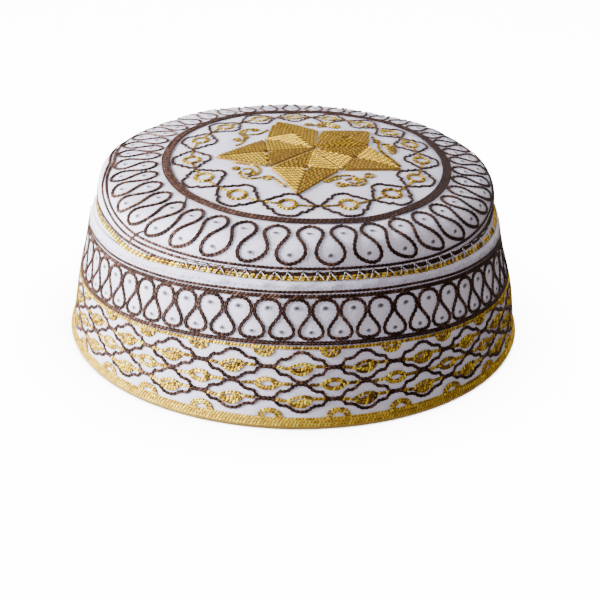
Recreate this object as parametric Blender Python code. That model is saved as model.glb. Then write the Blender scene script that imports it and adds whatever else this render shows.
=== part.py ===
# Round embroidered prayer cap, standing on its open rim.
# Metres, +Z up, origin on the ground under the middle, front towards -Y.
import math

import bpy

# Driving sizes
HEM_RADIUS = 0.0921
CAP_HEIGHT = 0.0736
CLOTH = 0.0020
GAP = 0.0003
SEGMENTS = 80

# Outer line of the crown panel from its middle to the seam, radius and height
CROWN_LINE = (
    (0.0150, 0.07335),
    (0.0300, 0.07270),
    (0.0450, 0.07150),
    (0.0590, 0.06980),
    (0.0660, 0.06890),
    (0.0700, 0.06830),
    (0.0734, 0.06760),
    (0.0756, 0.06670),
    (0.0771, 0.06540),
    (0.0780, 0.06360),
    (0.0785, 0.06140),
    (0.0786, 0.05900),
    (0.0785, 0.05720),
    (0.0785, 0.05560),
    (0.0790, 0.05400),
    (0.0799, 0.05280),
)

# Outer line of the side band from the seam down to the hem
BAND_LINE = (
    (0.0801, 0.05240),
    (0.0809, 0.05180),
    (0.0818, 0.05060),
    (0.0821, 0.04920),
    (0.0819, 0.04780),
    (0.0828, 0.04380),
    (0.0840, 0.03800),
    (0.0863, 0.02980),
    (0.0881, 0.02150),
    (0.0896, 0.01200),
    (0.0908, 0.00380),
)

# Section of the hem edge, radius and height, run round once
HEM_FOOT_INNER = 0.0889
HEM_FOOT_OUTER = 0.0913
HEM_SECTION = (
    (HEM_FOOT_INNER, 0.0),
    (HEM_FOOT_OUTER, 0.0),
    (0.0919, 0.0006),
    (HEM_RADIUS, 0.0016),
    (0.0916, 0.0028),
    (0.0909, 0.0035),
    (0.0891, 0.0035),
    (0.0885, 0.0027),
    (0.0884, 0.0007),
)

# How the soft body leaves a true round: height, oval share, sag towards the sides
SOFTNESS = (
    (0.0000, -0.004, 0.0000),
    (0.0035, -0.003, -0.0001),
    (0.0300, 0.006, -0.0032),
    (0.0500, 0.009, -0.0026),
    (0.0600, 0.009, -0.0009),
    (0.0660, 0.006, -0.0005),
    (0.0695, 0.000, 0.0000),
)
LEAN = -0.005
LEAN_HEIGHT = 0.0550

# Raised embroidery on the crown
RING_CENTRE = (0.0040, -0.0014)
RING_HALF_WIDTH = 0.0562
RING_HALF_DEPTH = 0.0603
RING_BAND = 0.0033
RING_RISE = 0.0009
STAR_CENTRE = (0.0070, 0.0016)
STAR_OUTLINE = (
    (0.0005, -0.0414),
    (0.0174, -0.0188),
    (0.0416, -0.0133),
    (0.0295, 0.0097),
    (0.0300, 0.0300),
    (0.0094, 0.0257),
    (-0.0088, 0.0390),
    (-0.0132, 0.0138),
    (-0.0328, -0.0064),
    (-0.0106, -0.0173),
)
STAR_STEPS = 4
STAR_RISE = 0.0006
STAR_RIDGE = 0.0004


def blend(rows, key, column):
    """Read a column of a short table at a key, straight between its rows."""
    if key <= rows[0][0]:
        return rows[0][column]
    for low, high in zip(rows, rows[1:]):
        if key <= high[0]:
            share = (key - low[0]) / (high[0] - low[0])
            return low[column] + share * (high[column] - low[column])
    return rows[-1][column]


def soften(radius, height, angle):
    """Place a turned point on the slightly oval, sagging and leaning cap."""
    swing = math.cos(2.0 * angle)
    wide = radius * (1.0 + blend(SOFTNESS, height, 1) * swing)
    x = wide * math.cos(angle)
    y = wide * math.sin(angle)
    sag = blend(SOFTNESS, height, 2) * swing
    lean = LEAN * radius * math.cos(angle) * min(height / LEAN_HEIGHT, 1.0)
    return (x, y, height + sag + lean)


def dome_height(x, y):
    """Height of the crown's outer face over a point inside its shoulder."""
    rows = ((0.0, CAP_HEIGHT),) + CROWN_LINE
    return blend(rows, math.hypot(x, y), 1) + LEAN * x


def offset_line(line, depth):
    """Move an outer line inwards by the cloth thickness, along its normals."""
    inner = []
    for index, (radius, height) in enumerate(line):
        before = line[max(index - 1, 0)]
        after = line[min(index + 1, len(line) - 1)]
        run = after[0] - before[0]
        drop = after[1] - before[1]
        length = math.hypot(run, drop)
        inner.append((radius + depth * drop / length, height - depth * run / length))
    return inner


def material(name, colour, roughness):
    """One Principled material with a plain colour."""
    made = bpy.data.materials.new(name)
    made.use_nodes = True
    shader = made.node_tree.nodes["Principled BSDF"]
    shader.inputs["Base Color"].default_value = (*colour, 1.0)
    shader.inputs["Roughness"].default_value = roughness
    shader.inputs["Metallic"].default_value = 0.0
    return made


def add_object(name, points, faces, colour, roughness):
    """Make one named solid from its points and faces."""
    mesh = bpy.data.meshes.new(name)
    mesh.from_pydata(points, [], faces)
    mesh.validate()
    mesh.shade_smooth()
    mesh.set_sharp_from_angle(angle=math.radians(40.0))
    mesh.materials.append(material(name, colour, roughness))
    made = bpy.data.objects.new(name, mesh)
    bpy.context.scene.collection.objects.link(made)
    return made


def ring_points(line):
    """Turn a line of radius and height into rows of points."""
    points = []
    for radius, height in line:
        for step in range(SEGMENTS):
            angle = 2.0 * math.pi * step / SEGMENTS
            points.append(soften(radius, height, angle))
    return points


def ring_faces(rows, closed):
    """Quads between neighbouring rows, facing out for a line that runs down."""
    faces = []
    last = rows if closed else rows - 1
    for row in range(last):
        upper = row * SEGMENTS
        lower = (row + 1) % rows * SEGMENTS
        for step in range(SEGMENTS):
            beside = (step + 1) % SEGMENTS
            faces.append((upper + step, lower + step, lower + beside, upper + beside))
    return faces


def crown_panel():
    """Domed cloth top: outer face, turned rim, inner face."""
    inner = offset_line(CROWN_LINE, CLOTH)
    line = list(CROWN_LINE) + inner[::-1]
    points = ring_points(line)
    faces = ring_faces(len(line), closed=False)
    top = len(points)
    points.append((0.0, 0.0, CAP_HEIGHT))
    points.append((0.0, 0.0, CAP_HEIGHT - CLOTH))
    last = (len(line) - 1) * SEGMENTS
    for step in range(SEGMENTS):
        beside = (step + 1) % SEGMENTS
        faces.append((top, step, beside))
        faces.append((top + 1, last + beside, last + step))
    return add_object("crown_panel", points, faces, (0.86, 0.86, 0.91), 0.85)


def side_band():
    """Flared cloth wall with the puffed strip along its top."""
    inner = offset_line(BAND_LINE, CLOTH)
    seat = inner[:1] + inner[3:]
    line = list(BAND_LINE) + seat[::-1]
    faces = ring_faces(len(line), closed=True)
    return add_object("side_band", ring_points(line), faces, (0.86, 0.86, 0.91), 0.85)


def hem_edge():
    """Overcast edge that the cap stands on."""
    line = HEM_SECTION[::-1]
    faces = ring_faces(len(line), closed=True)
    return add_object("hem_edge", ring_points(line), faces, (0.72, 0.50, 0.14), 0.45)


def brown_ring():
    """Raised band of chain-stitch rows, lying on the crown."""
    half = RING_BAND / 2.0
    section = ((-half, 0.0), (-half * 0.7, RING_RISE), (half * 0.7, RING_RISE), (half, 0.0))
    points = []
    for across, rise in section:
        for step in range(SEGMENTS):
            angle = 2.0 * math.pi * step / SEGMENTS
            x = RING_CENTRE[0] + (RING_HALF_WIDTH + across) * math.cos(angle)
            y = RING_CENTRE[1] + (RING_HALF_DEPTH + across) * math.sin(angle)
            points.append((x, y, dome_height(x, y) + GAP + rise))
    faces = ring_faces(len(section), closed=True)
    return add_object("brown_ring", points, faces, (0.13, 0.07, 0.05), 0.6)


def mix(first, second, share):
    """Point part of the way from one plan point to another."""
    return tuple(a + share * (b - a) for a, b in zip(first, second))


def gold_star():
    """Satin-stitched star: a fan of ridged wedges from the middle to the outline."""
    corners = len(STAR_OUTLINE)
    points = []
    for side in (1.0, 0.0):
        middle = dome_height(*STAR_CENTRE) + GAP + side * (STAR_RISE + STAR_RIDGE)
        points.append((*STAR_CENTRE, middle))
        for ring in range(1, STAR_STEPS + 1):
            share = ring / STAR_STEPS
            for corner, start in enumerate(STAR_OUTLINE):
                end = STAR_OUTLINE[(corner + 1) % corners]
                for step in range(STAR_STEPS):
                    along = step / STAR_STEPS
                    x, y = mix(STAR_CENTRE, mix(start, end, along), share)
                    ridge = along if corner % 2 else 1.0 - along
                    rise = STAR_RISE + STAR_RIDGE * ridge * (1.0 - share ** 2)
                    points.append((x, y, dome_height(x, y) + GAP + side * rise))
    around = corners * STAR_STEPS
    under = 1 + around * STAR_STEPS
    faces = []
    for step in range(around):
        beside = (step + 1) % around
        faces.append((0, 1 + step, 1 + beside))
        faces.append((under, under + 1 + beside, under + 1 + step))
        for ring in range(STAR_STEPS - 1):
            near = 1 + ring * around
            far = near + around
            faces.append((near + step, far + step, far + beside, near + beside))
            faces.append((under + near + step, under + near + beside,
                          under + far + beside, under + far + step))
        rim = 1 + (STAR_STEPS - 1) * around
        faces.append((rim + step, under + rim + step, under + rim + beside, rim + beside))
    return add_object("gold_star", points, faces, (0.72, 0.50, 0.14), 0.4)


for leftover in list(bpy.data.objects):
    bpy.data.objects.remove(leftover, do_unlink=True)

crown_panel()
side_band()
hem_edge()
brown_ring()
gold_star()
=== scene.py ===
# Round white prayer cap with brown and gold chain-stitch embroidery, standing on its open rim.
# Metres, +Z up, front towards -Y. Charts of the embroidery are in millimetres and degrees.
import math

import bpy
import numpy as np
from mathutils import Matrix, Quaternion, Vector, kdtree


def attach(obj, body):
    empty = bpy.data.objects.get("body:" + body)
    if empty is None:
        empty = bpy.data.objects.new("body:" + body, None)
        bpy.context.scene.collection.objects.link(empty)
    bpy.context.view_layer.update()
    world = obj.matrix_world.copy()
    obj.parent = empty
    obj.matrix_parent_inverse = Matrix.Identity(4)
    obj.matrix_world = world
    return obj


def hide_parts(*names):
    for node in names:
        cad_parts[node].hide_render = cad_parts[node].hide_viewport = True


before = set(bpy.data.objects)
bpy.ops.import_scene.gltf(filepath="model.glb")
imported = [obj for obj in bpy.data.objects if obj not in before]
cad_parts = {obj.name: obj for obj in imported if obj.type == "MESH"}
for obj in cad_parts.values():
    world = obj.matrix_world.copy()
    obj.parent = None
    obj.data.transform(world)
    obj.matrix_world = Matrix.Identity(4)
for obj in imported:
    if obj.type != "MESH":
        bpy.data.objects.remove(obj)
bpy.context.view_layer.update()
MM = 0.001

# Camera
# A long lens looks down at the cap at the photograph's angle, a little tilted to the side.
DISTANCE = 0.6689
LOOK_DOWN = math.radians(26.58)
ROLL = math.radians(1.06)

lens = bpy.data.cameras.new("photo_camera")
lens.lens = 96.0
lens.shift_x = 0.0107
lens.shift_y = 0.0288
camera = bpy.data.objects.new("photo_camera", lens)
camera.location = (0.0, -DISTANCE * math.cos(LOOK_DOWN), DISTANCE * math.sin(LOOK_DOWN))
aim = (-Vector(camera.location)).to_track_quat("-Z", "Y")
camera.rotation_mode = "QUATERNION"
camera.rotation_quaternion = aim @ Quaternion((0.0, 0.0, 1.0), ROLL)
bpy.context.scene.collection.objects.link(camera)
bpy.context.scene.camera = camera


# Light and floor
# A soft window-like light stands low on the left, with a faint warm sky all round, a small lamp in front
# for the glint of the gold and one high behind. The plain white floor has its own lamp, and throws no
# light back.
LIT_POINT = Vector((0.0, 0.0, 0.04))
FLOOR_HALF = 3.0


def srgb(code):
    """A colour written as sRGB hex, as linear red, green, blue and alpha."""
    parts = [int(code[i:i + 2], 16) / 255.0 for i in (0, 2, 4)]
    return tuple(p / 12.92 if p <= 0.04045 else ((p + 0.055) / 1.055) ** 2.4 for p in parts) + (1.0,)


def new_material(name):
    """A node material, its tree and its Principled shader."""
    made = bpy.data.materials.new(name)
    made.use_nodes = True
    return made, made.node_tree, made.node_tree.nodes["Principled BSDF"]


def add(tree, kind, inputs=None, **settings):
    """Add a shader node with its settings. Inputs are values, outputs, or nodes for their first output."""
    made = tree.nodes.new(kind)
    for key, value in settings.items():
        setattr(made, key, value)
    for key, value in (inputs or {}).items():
        if isinstance(value, bpy.types.Node):
            value = value.outputs[0]
        if isinstance(value, bpy.types.NodeSocket):
            tree.links.new(value, made.inputs[key])
        else:
            made.inputs[key].default_value = value
    return made


def area_light(name, place, size, power, colour):
    """A square soft light that points at the middle of the cap."""
    lamp = bpy.data.lights.new(name, "AREA")
    lamp.size = size
    lamp.energy = power
    lamp.color = srgb(colour)[:3]
    made = bpy.data.objects.new(name, lamp)
    made.location = place
    made.rotation_mode = "QUATERNION"
    made.rotation_quaternion = (LIT_POINT - Vector(place)).to_track_quat("-Z", "Y")
    bpy.context.scene.collection.objects.link(made)
    return made


def mesh_object(name, points, faces, material, slot=None):
    """A smooth shaded mesh object from points and faces. With a slot it is a piece of the cap."""
    mesh = bpy.data.meshes.new(name)
    corners = faces.tolist() if isinstance(faces, np.ndarray) else faces
    mesh.from_pydata(np.asarray(points).tolist(), [], corners)
    mesh.shade_smooth()
    mesh.materials.append(material)
    made = bpy.data.objects.new(name, mesh)
    bpy.context.scene.collection.objects.link(made)
    if slot:
        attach(made, "root")
    return made


lamps = [
    area_light("window_light", (-0.74, -0.13, 0.23), 0.45, 50.0, "F5F5FF"),
    area_light("glint_light", (-0.16, -0.80, 0.42), 0.15, 4.8, "F6F3FF"),
    area_light("back_light", (0.30, 0.60, 0.75), 0.50, 7.9, "F5F6FF"),
]
floor_lamp = area_light("floor_light", (0.0, 0.0, 1.60), 2.40, 700.0, "FFFFFF")

sky = bpy.data.worlds.new("studio_sky")
sky.use_nodes = True
sky.node_tree.nodes["Background"].inputs["Color"].default_value = srgb("FAE6DA")
sky.node_tree.nodes["Background"].inputs["Strength"].default_value = 0.31
bpy.context.scene.world = sky

# Painted board, smooth and plain, so that nothing on it competes with the cap
board, tree, shader = new_material("white_studio_board")
grain = add(tree, "ShaderNodeTexNoise", {"Scale": 6.0, "Detail": 2.0})
tint = add(tree, "ShaderNodeMix",
           {"Factor": grain.outputs["Fac"], 6: srgb("FDFDFD"), 7: srgb("F9F9FA")}, data_type="RGBA")
tree.links.new(tint.outputs[2], shader.inputs["Base Color"])
shader.inputs["Roughness"].default_value = 0.9
floor = mesh_object("studio_floor",
                    [(-FLOOR_HALF, -FLOOR_HALF, 0.0), (FLOOR_HALF, -FLOOR_HALF, 0.0),
                     (FLOOR_HALF, FLOOR_HALF, 0.0), (-FLOOR_HALF, FLOOR_HALF, 0.0)],
                    [(0, 1, 2, 3)], board)
floor.visible_diffuse = False
floor.visible_glossy = False
for lamp, state in [(lamp, "EXCLUDE") for lamp in lamps] + [(floor_lamp, "INCLUDE")]:
    lit = bpy.data.collections.new(lamp.name + "_floor")
    lit.objects.link(floor)
    lamp.light_linking.receiver_collection = lit
    lit.collection_objects[0].light_linking.link_state = state


# Shape of the cap
# One outer line from the middle of the crown over the shoulder and down the flared band to the hem,
# turned into a slightly oval, sagging and leaning body. The cloth and every thread lie on it.
OUTER_LINE = np.array((
    (0.0, 73.6), (15.0, 73.35), (30.0, 72.7), (45.0, 71.5), (59.0, 69.8), (66.0, 68.9), (70.0, 68.3),
    (73.4, 67.6), (75.6, 66.7), (77.1, 65.4), (78.0, 63.6), (78.5, 61.4), (78.6, 59.0), (78.5, 57.2),
    (78.5, 55.6), (79.0, 54.0), (79.9, 52.8), (80.1, 52.4), (80.9, 51.8), (81.8, 50.6), (82.1, 49.2),
    (81.9, 47.8), (82.8, 43.8), (84.0, 38.0), (86.3, 29.8), (88.1, 21.5), (89.6, 12.0), (90.8, 3.8),
    (91.6, 2.8), (92.1, 1.6), (91.9, 0.6), (91.3, 0.0))) * MM
ARC_STEP = 0.0002
ROUNDING = 11
# Rows of the smooth line over the crown, where its radius still grows
CROWN_ROWS = 390
# Height, oval share, sag towards the sides
SOFTNESS = np.array((
    (0.0000, -0.004, 0.0000), (0.0035, -0.003, -0.0001), (0.0300, 0.006, -0.0032), (0.0500, 0.009, -0.0026),
    (0.0600, 0.009, -0.0009), (0.0660, 0.006, -0.0005), (0.0695, 0.000, 0.0000)))
LEAN = -0.005
LEAN_HEIGHT = 0.0550
# Unevenness of the soft cap and of its puffed strip, as waves: turns round, turns along, start, share
RUMPLE = 0.00016
SLOW_WAVES = ((5.0, 60.0, 0.0, 1.0), (9.0, -90.0, 1.3, 1.0), (14.0, 120.0, 0.4, 0.7))
STRIP_RUMPLE = 0.00022
STRIP_MIDDLE = 0.0943
STRIP_WIDTH = 0.0014
FINE_WAVES = ((37.0, 700.0, 0.0, 1.0), (61.0, -500.0, 2.0, 0.8), (97.0, 2100.0, 0.7, 0.7))
# How far apart points are read for the slope of the face, along the line and in radians round the cap
SLOPE_ALONG = 0.0004
SLOPE_ROUND = 0.003

corner_arc = np.concatenate(([0.0], np.cumsum(np.hypot(*np.diff(OUTER_LINE, axis=0).T))))
arc = np.arange(0.0, corner_arc[-1], ARC_STEP)
round_off = np.hanning(ROUNDING) / np.hanning(ROUNDING).sum()
turned = []
for column in OUTER_LINE.T:
    longer = np.pad(np.interp(arc, corner_arc, column), ROUNDING // 2, "reflect", reflect_type="odd")
    turned.append(np.convolve(longer, round_off, "valid"))


def place(reach, angle):
    """Points of the smooth body, from an arc length in metres from its middle and an angle in radians."""
    radius = np.interp(reach, arc, turned[0])
    height = np.interp(reach, arc, turned[1])
    swing = np.cos(2.0 * angle)
    wide = radius * (1.0 + np.interp(height, SOFTNESS[:, 0], SOFTNESS[:, 1]) * swing)
    sag = np.interp(height, SOFTNESS[:, 0], SOFTNESS[:, 2]) * swing
    lean = LEAN * radius * np.cos(angle) * np.minimum(height / LEAN_HEIGHT, 1.0)
    return np.stack((wide * np.cos(angle), wide * np.sin(angle), height + sag + lean), axis=-1)


def waves(rows, reach, angle):
    """A sum of waves over the cap."""
    return sum(share * np.sin(turns * angle + along * reach + start) for turns, along, start, share in rows)


def rumple(reach, angle):
    """Slow unevenness of a soft cap, and the finer rumples of the puffed strip under the seam."""
    calm = np.clip((reach - 0.020) / 0.050, 0.0, 1.0) * np.clip((0.1440 - reach) / 0.020, 0.0, 1.0)
    strip = np.exp(-((reach - STRIP_MIDDLE) / STRIP_WIDTH) ** 2)
    return (RUMPLE * calm * waves(SLOW_WAVES, reach, angle)
            + STRIP_RUMPLE * strip * waves(FINE_WAVES, reach, angle))


def skin(s, theta, lift=0.0):
    """Points on the cap's face at s mm and theta degrees, raised by lift metres, and their normals."""
    reach, angle = np.broadcast_arrays(np.maximum(np.asarray(s, float), 0.01) * MM, np.radians(theta))
    down = place(reach + SLOPE_ALONG, angle) - place(reach - SLOPE_ALONG, angle)
    beside = place(reach, angle + SLOPE_ROUND) - place(reach, angle - SLOPE_ROUND)
    normal = np.cross(down, beside)
    normal /= np.linalg.norm(normal, axis=-1, keepdims=True)
    raised = rumple(reach, angle) + lift
    return place(reach, angle) + normal * np.asarray(raised)[..., None], normal


def from_plan(points):
    """Crown points in plan, x and y in mm, as s and theta."""
    x, y = np.asarray(points, float).T
    reach = np.interp(np.hypot(x, y) * MM, turned[0][:CROWN_ROWS], arc[:CROWN_ROWS]) / MM
    return np.stack((reach, np.degrees(np.arctan2(y, x))), axis=-1)


def curve(rows, steps=8):
    """A smooth line through charted rows."""
    rows = np.asarray(rows, float)
    p = np.concatenate((2 * rows[:1] - rows[1:2], rows, 2 * rows[-1:] - rows[-2:-1]))
    t = np.arange(steps)[:, None] / steps
    spans = []
    for a, b, c, d in zip(p, p[1:], p[2:], p[3:]):
        spans.append(0.5 * (2 * b + (c - a) * t + (2 * a - 5 * b + 4 * c - d) * t ** 2
                            + (3 * b - a - 3 * c + d) * t ** 3))
    spans.append(p[-2:-1])
    return np.concatenate(spans)


# Thread and chain stitch
# All the brown and gold lines are one kind of stitch: loops that sit in each other, seen as two slanting
# strands. Each stitch is a small mesh of two strands, set along a charted line and joined into one piece.
STITCH = 1.7
# A strand at four places along a stitch: along in stitch lengths, out and half thick in widths
STATIONS = ((-0.62, 0.04, 0.14), (-0.12, 0.20, 0.25), (0.28, 0.26, 0.26), (0.62, 0.13, 0.16))
STRAND_RISE = 0.06
AROUND = np.radians((-20.0, 55.0, 125.0, 200.0))
# Angle of the side towards the window light, which chain stitch paints lighter as painted light
LIGHT_SIDE = math.radians(185.0)
# Two slow waves of tone along a thread, in metres, and their share beside each stitch's own tone
TONE_WAVES = (0.011, 0.027)
TONE_WAVE_SHARE = 0.45
# Middles of the stitches that pull the cloth down
bites = []
# Order of a quad's corners that turns its face over
TURNED = (0, 3, 2, 1)


def quads(rows, across, rows_closed=False, across_closed=False):
    """Faces of a grid of points listed row by row. A closed side joins its last points to its first."""
    r, k = np.indices((rows - 1 + rows_closed, across - 1 + across_closed)).reshape(2, -1)
    upper, lower, beside = r * across, (r + 1) % rows * across, (k + 1) % across
    return np.stack((upper + k, lower + k, lower + beside, upper + beside), axis=-1)


def stitch_shape():
    """One stitch: along in stitch lengths, across and up in widths, with its faces and thread marks."""
    points, faces, marks = [], [], []
    strand = quads(len(STATIONS), len(AROUND))
    for side in (1, -1):
        faces.append((strand if side > 0 else strand[:, ::-1]) + len(points))
        for row, (along, out, girth) in enumerate(STATIONS):
            for turn in AROUND:
                points.append((along, side * (out + girth * math.cos(turn)),
                               STRAND_RISE + girth * math.sin(turn)))
                marks.append((row / (len(STATIONS) - 1), math.sin(turn)))
    return np.array(points), np.concatenate(faces), np.array(marks)


STITCH_POINTS, STITCH_FACES, STITCH_MARKS = stitch_shape()


def along_line(chart, lift, step):
    """Evenly spaced stitches on a charted line: middles, directions, normals, lengths and how far along."""
    points, normals = skin(chart[:, 0], chart[:, 1], lift)
    gone = np.concatenate(([0.0], np.cumsum(np.linalg.norm(np.diff(points, axis=0), axis=1))))
    count = max(1, int(round(gone[-1] / (step * MM))))
    at = (np.arange(count) + 0.5) * gone[-1] / count
    reach = 0.5 * gone[-1] / count

    def read(values, where):
        return np.stack([np.interp(where, gone, values[:, k]) for k in range(3)], axis=-1)

    middle = read(points, at)
    run = read(points, np.minimum(at + reach, gone[-1])) - read(points, np.maximum(at - reach, 0.0))
    long = np.linalg.norm(run, axis=1, keepdims=True)
    upright = read(normals, at)
    upright /= np.linalg.norm(upright, axis=1, keepdims=True)
    return middle, run / long, upright, long, at


def mark(made, name, values):
    """Write a number or a vector on each point of a piece, which its material reads by name."""
    values = np.asarray(values)
    kind, field = ("FLOAT", "value") if values.ndim == 1 else ("FLOAT_VECTOR", "vector")
    made.data.attributes.new(name, kind, "POINT").data.foreach_set(field, values.ravel())


def threads(name, points, faces, marks, material, slot):
    """A piece of thread, with marks of how far along a strand, how far up its round, and tone."""
    made = mesh_object(name, points, faces, material, slot)
    mark(made, "thread", marks)
    return made


def chain(name, lines, width, material, slot, tone=0.5, spread=0.22, lift=0.0, step=STITCH, deep=True,
          lit_side_paint=0.0, shear=0.25, slack=0.0):
    """Chain stitch of a width in mm along charted lines, joined into one piece. A painted light term makes
    its left side, towards the window light, lighter; shear slants the stitches, and slack makes them finer
    and lighter towards the back."""
    rng = np.random.RandomState(sum(ord(letter) for letter in name))
    points, marks, total = [], [], 0
    for line in lines:
        chart, shade, height = line if isinstance(line, tuple) else (line, tone, lift)
        middle, run, upright, long, at = along_line(np.asarray(chart), height, step)
        if deep:
            bites.append(middle)
        across = np.cross(upright, run)
        shape = (STITCH_POINTS + STITCH_POINTS[:, 1:2] * (shear, 0.0, 0.0))[None]
        back = 0.5 * slack * (1.0 + middle[:, 1] / np.hypot(middle[:, 0], middle[:, 1]))
        broad = width * MM * (1.0 - back)[:, None, None]
        made = (middle[:, None] + run[:, None] * shape[..., :1] * long[:, None]
                + across[:, None] * shape[..., 1:2] * broad
                + upright[:, None] * shape[..., 2:] * broad)
        points.append(made.reshape(-1, 3))
        phase = rng.uniform(0.0, 6.28, 2)
        slow = 0.5 * np.sin(at / TONE_WAVES[0] + phase[0]) + 0.5 * np.sin(at / TONE_WAVES[1] + phase[1])
        # Painted light: stitches on the left, the side towards the window light, are painted lighter
        side = lit_side_paint * np.cos(np.arctan2(middle[:, 1], middle[:, 0]) - LIGHT_SIDE)
        uneven = spread * (TONE_WAVE_SHARE * slow + rng.uniform(-1.0, 1.0, len(at)))
        own = np.clip(shade + side + back + uneven, 0.0, 1.0)
        stitch_marks = np.empty((len(at), len(STITCH_MARKS), 3))
        stitch_marks[..., :2] = STITCH_MARKS[None]
        stitch_marks[..., 2] = own[:, None]
        marks.append(stitch_marks.reshape(-1, 3))
        total += len(at)
    faces = (STITCH_FACES[None] + (np.arange(total) * len(STITCH_POINTS))[:, None, None]).reshape(-1, 4)
    return threads(name, np.concatenate(points), faces, np.concatenate(marks), material, slot)


# Turn of the plies along a strand and round it, in radians: coarser than real thread, so that they show
TWIST_ALONG = 20.0
TWIST_ROUND = 4.0


def thread_material(name, stops, metallic, roughness, glow, tuck_shade_range):
    """Thread whose colour follows its marks, with painted shade under each strand and where strands meet
    at the stitch ends, and its twist as fine ridges.
    """
    made, tree, shader = new_material(name)
    thread = add(tree, "ShaderNodeAttribute", attribute_name="thread")
    part = add(tree, "ShaderNodeSeparateXYZ", {"Vector": thread.outputs["Vector"]})
    ramp = add(tree, "ShaderNodeValToRGB", {"Fac": part.outputs["Z"]})
    ramp.color_ramp.elements.remove(ramp.color_ramp.elements[1])
    ramp.color_ramp.elements[0].position = stops[0][0]
    ramp.color_ramp.elements[0].color = srgb(stops[0][1])
    for position, code in stops[1:]:
        ramp.color_ramp.elements.new(position).color = srgb(code)
    turns = add(tree, "ShaderNodeMath", {0: part.outputs["X"], 1: TWIST_ALONG}, operation="MULTIPLY")
    slant = add(tree, "ShaderNodeMath",
                {0: part.outputs["Y"], 1: TWIST_ROUND, 2: turns}, operation="MULTIPLY_ADD")
    twist = add(tree, "ShaderNodeMath", {0: slant}, operation="SINE")
    # Painted shade: each strand darker on its underside, towards the cloth
    low = add(tree, "ShaderNodeMapRange",
              {"Value": part.outputs["Y"], "From Min": -0.3, "From Max": 0.7, "To Min": 0.3, "To Max": 1.0})
    half_turn = add(tree, "ShaderNodeMath", {0: part.outputs["X"], 1: math.pi}, operation="MULTIPLY")
    arch = add(tree, "ShaderNodeMath", {0: half_turn}, operation="SINE")
    # Painted shade: each strand darker towards the stitch ends, where the loops tuck into each other
    tuck_shade = add(tree, "ShaderNodeMapRange",
               {"Value": arch, "From Min": tuck_shade_range[0], "From Max": tuck_shade_range[1],
                "To Min": tuck_shade_range[2], "To Max": 1.0})
    ply = add(tree, "ShaderNodeMath", {0: twist, 1: 0.08, 2: 0.92}, operation="MULTIPLY_ADD")
    ends = add(tree, "ShaderNodeMath", {0: tuck_shade, 1: ply}, operation="MULTIPLY")
    both = add(tree, "ShaderNodeMath", {0: low, 1: ends}, operation="MULTIPLY")
    dark = add(tree, "ShaderNodeMix",
               {"Factor": 1.0, 6: ramp.outputs["Color"], 7: both}, data_type="RGBA", blend_type="MULTIPLY")
    tree.links.new(dark.outputs[2], shader.inputs["Base Color"])
    bump = add(tree, "ShaderNodeBump",
               {"Strength": 0.5, "Distance": 0.00008, "Height": twist})
    tree.links.new(bump.outputs["Normal"], shader.inputs["Normal"])
    shader.inputs["Metallic"].default_value = metallic
    shader.inputs["Roughness"].default_value = roughness
    shader.inputs["Specular IOR Level"].default_value = 0.2
    shader.inputs["Specular Tint"].default_value = srgb(glow)
    return made


# Variegated rayon thread: the dye runs from espresso to a pinkish tan along its length
brown = thread_material("brown_variegated_rayon",
                        ((0.0, "281810"), (0.35, "452D22"), (0.65, "7C5A49"), (1.0, "C8A692")), 0.0, 0.45,
                        "C8A694", (0.50, 0.98, 0.14))
# Metallised thread: a flat gold foil wound on a core, so each strand flashes light or dark as it turns
gold = thread_material("gold_metallised_thread",
                       ((0.0, "5E441A"), (0.3, "A07A2E"), (0.65, "E8BC38"), (1.0, "FFEA5C")), 0.6, 0.34,
                       "FFDC4E", (0.48, 0.97, 0.14))
# White sewing cotton, matt with a faint twist
white = thread_material("white_sewing_cotton", ((0.0, "DAD8E2"), (1.0, "FAFAFD")), 0.0, 0.7, "FFFFFF",
                        (0.15, 0.8, 0.2))


def ring(s, sway=0.0):
    """A line right round the cap at one s, with the slow sway in mm of a line set by hand."""
    theta = np.arange(-180.0, 181.5, 1.5)
    turn = np.radians(theta)
    by_hand = 0.6 * np.sin(3.0 * turn + 1.0) + 0.4 * np.sin(8.0 * turn + 0.6)
    return np.stack((s + sway * by_hand, theta), axis=-1)


# Degrees by which repeats crowd away from the front, where they are widest
FRONT_STRETCH = 4.6


def warp(u, shifts):
    """Angle of a repeat, which is wider at the front than at the back and shifted as it was set by hand."""
    u = np.asarray(u, float)
    table = curve(shifts, steps=4)
    return u + FRONT_STRETCH * np.cos(np.radians(u)) + np.interp(u, table[:, 0], table[:, 1])


# Gold star
# Five pointed arms, each a kite of four facets filled with rows of gold chain stitch over a padding.
# Rows run another way from facet to facet, and facets are painted light or dark as painted reflection.
# It is sewn to the crown.
STAR_MIDDLE = (7.0, 1.6)
STAR_TIPS = ((0.5, -41.4), (41.6, -13.3), (30.0, 30.0), (-8.8, 39.0), (-32.8, -6.4))
STAR_NOTCHES = ((17.4, -18.8), (29.5, 9.7), (9.4, 25.7), (-13.2, 13.8), (-10.6, -17.3))
STAR_PAD = 0.0005
STAR_RIDGE = 0.0004
PAD_EDGE = -0.0004
ROW_PITCH = 1.40
ROW_WIDTH = 1.02
SHORTEST_ROW = 1.2
ROW_TRIM = 0.25
# How far the cloth shows on each side between two arms, and round the crossing of an arm's facets, in mm
SLIT = 0.60
SPOT = 1.80
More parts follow.
